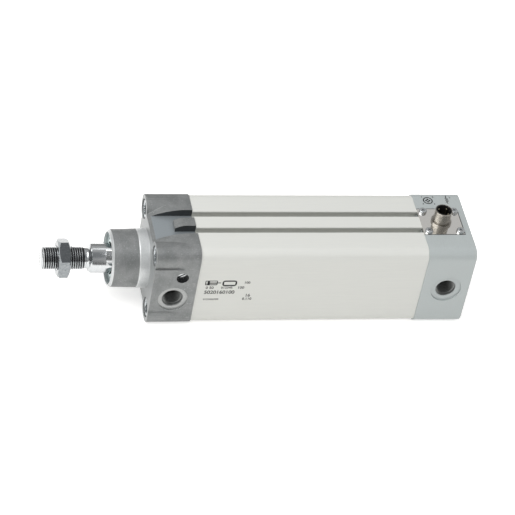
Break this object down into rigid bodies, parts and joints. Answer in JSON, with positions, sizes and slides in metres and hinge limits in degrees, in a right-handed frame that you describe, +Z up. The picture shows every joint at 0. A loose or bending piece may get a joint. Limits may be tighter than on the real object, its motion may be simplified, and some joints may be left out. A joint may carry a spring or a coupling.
{
  "type": "pneumatic cylinder",
  "caption": "Profile-tube pneumatic cylinder with square caps, threaded rod and nut, adjustable cushioning and a built-in position sensor with a round connector.",
  "frame": {"origin": "on the cylinder's axis, in the plane of the front cap's mounting face", "axes": "+X along the cylinder towards the rear cap, so the rod leaves towards -X; +Z up, out of the side with the connector; -Y out of the side with the two ports"},
  "size_m": [0.29, 0.065, 0.0755],
  "materials": {
    "cast_aluminium": "cast, blasted",
    "clear_anodised": "satin, clear anodised",
    "grey_anodised": "satin, anodised",
    "zinc_steel": "zinc plated",
    "chromed_steel": "hard chromed",
    "stainless_steel": "polished",
    "nickel_brass": "nickel plated",
    "gold_pins": "gold plated",
    "sintered_bronze": "sintered",
    "machined_aluminium": "turned",
    "nitrile_rubber": "moulded",
    "polyurethane": "moulded",
    "acetal": "turned",
    "bonded_magnet": "bonded ferrite",
    "conductive_plastic": "printed track",
    "insert_plastic": "moulded",
    "board_laminate": "glass fibre laminate"
  },
  "bodies": {
    "cylinder_body": {"front_cap": "cast_aluminium", "barrel": "clear_anodised", "rear_cap": "grey_anodised", "rod_bearing": "sintered_bronze", "rod_wiper_seal": "polyurethane", "wiper_retaining_ring": "stainless_steel", "front_cushion_seal": "polyurethane", "rear_cushion_seal": "polyurethane", "front_barrel_o_ring": "nitrile_rubber", "rear_barrel_o_ring": "nitrile_rubber", "front_cap_screws": "zinc_steel", "rear_cap_screws": "zinc_steel", "transducer_rail": "acetal", "resistive_strip": "conductive_plastic", "transducer_base": "acetal", "transducer_base_o_ring": "nitrile_rubber", "sensor_leads": "gold_pins", "circuit_board": "board_laminate", "plate_gasket": "nitrile_rubber", "connector_plate": "stainless_steel", "plate_screws": "stainless_steel", "connector_shell": "nickel_brass", "connector_nut": "nickel_brass", "connector_insert": "insert_plastic", "connector_pins": "gold_pins"},
    "sensor_carriage": {"wiper_carriage": "acetal", "wiper_contacts": "gold_pins"},
    "rod": {"piston_rod": "chromed_steel", "piston_front_half": "machined_aluminium", "piston_rear_half": "machined_aluminium", "front_piston_seal": "polyurethane", "rear_piston_seal": "polyurethane", "guide_ring": "acetal", "magnet_ring": "bonded_magnet", "piston_rod_o_ring": "nitrile_rubber", "front_stop_ring": "polyurethane", "rear_stop_ring": "polyurethane", "front_cushion_bush": "machined_aluminium", "rear_cushion_bush": "machined_aluminium", "piston_nut": "zinc_steel", "carriage_retaining_ring": "acetal"},
    "nut": {"rod_nut": "zinc_steel"},
    "front_needle_seal": {"front_needle_o_ring": "nitrile_rubber"},
    "front_needle_screw": {"front_needle": "nickel_brass"},
    "rear_needle_seal": {"rear_needle_o_ring": "nitrile_rubber"},
    "rear_needle_screw": {"rear_needle": "nickel_brass"}
  },
  "joints": [
    {"name": "rod_slide", "type": "slide", "parent": "cylinder_body", "child": "sensor_carriage", "axis": [-1, 0, 0], "range_m": [0, 0.1]},
    {"name": "rod_spin", "type": "hinge", "parent": "sensor_carriage", "child": "rod", "pos_m": [0, 0, 0], "axis": [1, 0, 0], "continuous": true},
    {"name": "nut_turn", "type": "hinge", "parent": "rod", "child": "nut", "pos_m": [-0.0556, 0, 0], "axis": [1, 0, 0], "continuous": true},
    {"name": "front_needle_lift", "type": "slide", "parent": "cylinder_body", "child": "front_needle_seal", "axis": [0, -1, 0], "range_m": [-0.00121, 0.00151]},
    {"name": "front_needle_turn", "type": "hinge", "parent": "front_needle_seal", "child": "front_needle_screw", "pos_m": [0.0194, -0.0295, 0.0113], "axis": [0, -1, 0], "range_deg": [-576, 720]},
    {"name": "rear_needle_lift", "type": "slide", "parent": "cylinder_body", "child": "rear_needle_seal", "axis": [0, 1, 0], "range_m": [-0.00121, 0.00151]},
    {"name": "rear_needle_turn", "type": "hinge", "parent": "rear_needle_seal", "child": "rear_needle_screw", "pos_m": [0.1975, 0.0295, 0.0113], "axis": [0, 1, 0], "range_deg": [-576, 720]}
  ],
  "couplings": [
    {"joint": "front_needle_lift", "follows": "front_needle_turn", "m_per_rad": 0.00011937},
    {"joint": "rear_needle_lift", "follows": "rear_needle_turn", "m_per_rad": 0.00011937}
  ]
}
